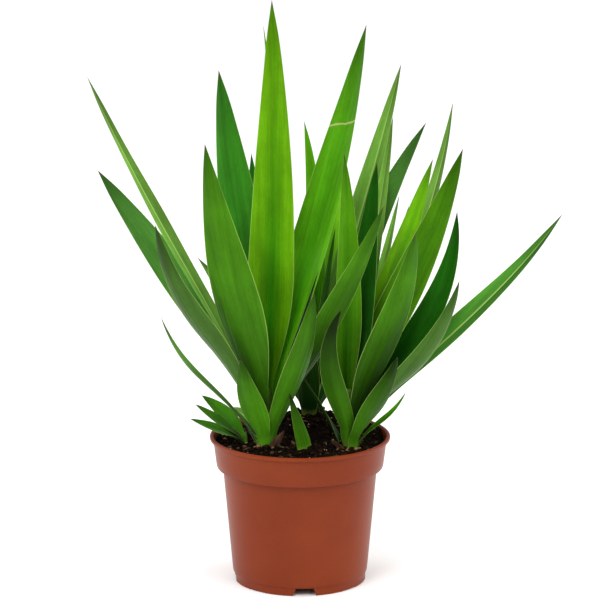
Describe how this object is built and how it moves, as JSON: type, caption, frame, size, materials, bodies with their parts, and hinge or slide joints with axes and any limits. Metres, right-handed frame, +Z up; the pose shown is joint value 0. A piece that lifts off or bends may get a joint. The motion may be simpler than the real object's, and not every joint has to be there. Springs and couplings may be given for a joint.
{
  "type": "potted yucca",
  "caption": "Young yucca with stiff sword-shaped leaves rising in tufts from dark potting soil in a tapered terracotta-coloured plastic nursery pot with a banded rim and a notched foot.",
  "frame": {"origin": "on the ground, on the pot's axis, at the flat pad in the middle of the pot's underside", "axes": "+Z up along the pot's axis, +X to the right and -Y to the front of the plant as it is shown"},
  "size_m": [0.441, 0.246, 0.552],
  "materials": {
    "pot": "satin",
    "soil": "matte",
    "leaf": "satin",
    "stem": "matte",
    "dry_sheath": "matte"
  },
  "bodies": {
    "root": {"back_leaf_01": "leaf", "back_leaf_02": "leaf", "back_leaf_03": "leaf", "back_leaf_04": "leaf", "back_leaf_05": "leaf", "back_leaf_06": "leaf", "back_leaf_07": "leaf", "back_leaf_08": "leaf", "back_leaf_09": "leaf", "back_leaf_10": "leaf", "back_leaf_11": "leaf", "back_leaf_12": "leaf", "back_stem": "stem", "cut_leaf_01": "leaf", "left_dry_sheath": "dry_sheath", "left_leaf_02": "leaf", "left_leaf_03": "leaf", "left_leaf_04": "leaf", "left_leaf_05": "leaf", "left_leaf_06": "leaf", "left_leaf_07": "leaf", "left_leaf_08": "leaf", "left_leaf_09": "leaf", "left_leaf_10": "leaf", "left_leaf_11": "leaf", "left_leaf_12": "leaf", "left_leaf_13": "leaf", "left_leaf_14": "leaf", "left_leaf_15": "leaf", "left_leaf_16": "leaf", "left_stem": "stem", "offset_leaf_01": "leaf", "offset_leaf_02": "leaf", "offset_leaf_03": "leaf", "offset_stem": "stem", "pot": "pot", "right_dry_sheath": "dry_sheath", "right_leaf_02": "leaf", "right_leaf_03": "leaf", "right_leaf_04": "leaf", "right_leaf_05": "leaf", "right_leaf_06": "leaf", "right_leaf_07": "leaf", "right_leaf_08": "leaf", "right_leaf_09": "leaf", "right_leaf_10": "leaf", "right_leaf_11": "leaf", "right_leaf_12": "leaf", "right_leaf_13": "leaf", "right_leaf_14": "leaf", "right_leaf_15": "leaf", "right_leaf_16": "leaf", "right_leaf_17": "leaf", "right_stem": "stem", "soil": "soil"}
  },
  "joints": []
}
